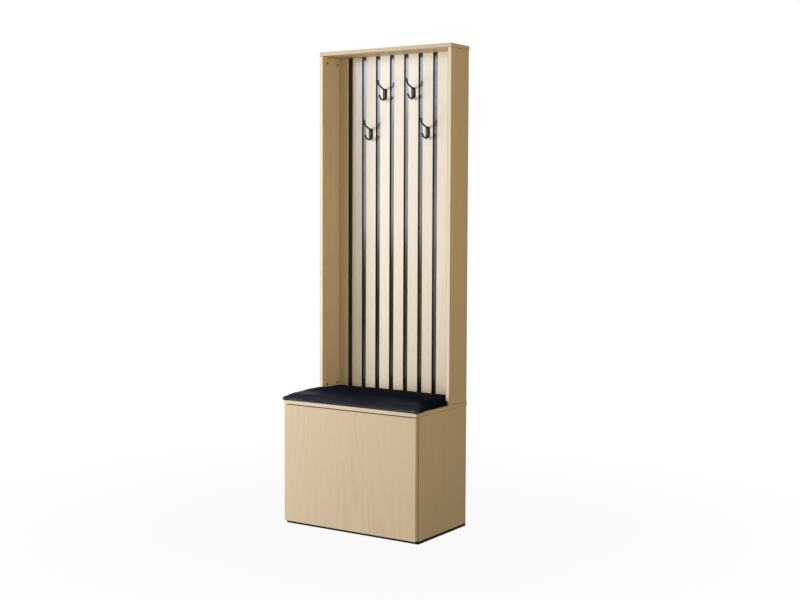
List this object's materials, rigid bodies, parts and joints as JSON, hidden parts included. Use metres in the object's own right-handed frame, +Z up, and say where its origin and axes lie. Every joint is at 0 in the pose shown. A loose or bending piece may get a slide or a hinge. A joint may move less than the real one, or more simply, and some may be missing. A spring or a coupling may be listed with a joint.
{
  "type": "hall stand with bench",
  "caption": "Tall hall stand: a bench cabinet with a push-to-open drawer and a padded seat, under an open coat niche with a slatted back and double hooks.",
  "frame": {"origin": "on the floor, under the middle of the stand's box", "axes": "+Z up, +Y to the back (the wall), +X to the right seen from the front"},
  "size_m": [0.6, 0.36, 1.82],
  "materials": {
    "board": "light oak melamine, fine vertical grain, satin",
    "drawer_board": "pale melamine, satin",
    "slat_veneer": "light oak face on a black core, satin",
    "groove_black": "black laminate, semi-gloss",
    "hardboard": "brown hardboard, matt",
    "base_black": "black, matt",
    "hook_black": "black powder coat, semi-gloss",
    "zinc_steel": "zinc-plated",
    "cam_zinc": "browned zinc casting",
    "screw_black": "black",
    "dowel_beech": "raw beech",
    "latch_plastic": "grey, moulded",
    "plunger_plastic": "white, moulded",
    "seat_plywood": "raw birch plywood",
    "seat_leather": "blue-black leather cloth, fine grain"
  },
  "bodies": {
    "stand": {"cabinet_left_side": "board", "cabinet_right_side": "board", "cabinet_floor": "board", "bench_top": "board", "upper_left_panel": "board", "upper_right_panel": "board", "upper_top_panel": "board", "slat_1": "slat_veneer", "slat_2": "slat_veneer", "slat_3": "slat_veneer", "slat_4": "slat_veneer", "slat_5": "slat_veneer", "slat_6": "slat_veneer", "slat_7": "slat_veneer", "slat_8": "slat_veneer", "slat_9": "slat_veneer", "slat_board": "groove_black", "cabinet_back_sheet": "hardboard", "upper_back_sheet": "hardboard", "base_strip_front": "base_black", "base_strip_back": "base_black", "base_strip_left": "base_black", "base_strip_right": "base_black", "hook_upper_left": "hook_black", "hook_upper_right": "hook_black", "hook_lower_left": "hook_black", "hook_lower_right": "hook_black", "left_runner_outer": "zinc_steel", "right_runner_outer": "zinc_steel", "upper_cam_bolts": "zinc_steel", "cabinet_cam_bolts": "zinc_steel", "back_nails": "zinc_steel", "slat_board_screws": "zinc_steel", "base_screws": "zinc_steel", "cabinet_runner_screws": "zinc_steel", "latch_screws": "zinc_steel", "upper_cams": "cam_zinc", "cabinet_cams": "cam_zinc", "hook_screws": "screw_black", "dowels": "dowel_beech", "left_latch_body": "latch_plastic", "right_latch_body": "latch_plastic", "seat_board": "seat_plywood", "seat_cushion": "seat_leather"},
    "drawer": {"drawer_inner_front": "drawer_board", "drawer_left_side": "drawer_board", "drawer_right_side": "drawer_board", "drawer_back": "drawer_board", "drawer_bottom": "drawer_board", "drawer_front": "board", "left_runner_inner": "zinc_steel", "right_runner_inner": "zinc_steel", "latch_strikes": "zinc_steel", "drawer_runner_screws": "zinc_steel", "drawer_screws": "zinc_steel"},
    "left_runner": {"left_runner_middle": "zinc_steel"},
    "right_runner": {"right_runner_middle": "zinc_steel"},
    "left_plunger": {"left_latch_plunger": "plunger_plastic"},
    "right_plunger": {"right_latch_plunger": "plunger_plastic"}
  },
  "joints": [
    {"name": "drawer_slide", "type": "slide", "parent": "stand", "child": "drawer", "axis": [0, -1, 0], "range_m": [0, 0.28]},
    {"name": "left_runner_slide", "type": "slide", "parent": "stand", "child": "left_runner", "axis": [0, -1, 0], "range_m": [0, 0.14]},
    {"name": "right_runner_slide", "type": "slide", "parent": "stand", "child": "right_runner", "axis": [0, -1, 0], "range_m": [0, 0.14]},
    {"name": "left_latch_push", "type": "slide", "parent": "stand", "child": "left_plunger", "axis": [0, 1, 0], "range_m": [0, 0.003], "stiffness_N_per_m": 600},
    {"name": "right_latch_push", "type": "slide", "parent": "stand", "child": "right_plunger", "axis": [0, 1, 0], "range_m": [0, 0.003], "stiffness_N_per_m": 600}
  ],
  "couplings": [
    {"joint": "left_runner_slide", "follows": "drawer_slide", "ratio": 0.5},
    {"joint": "right_runner_slide", "follows": "drawer_slide", "ratio": 0.5}
  ]
}
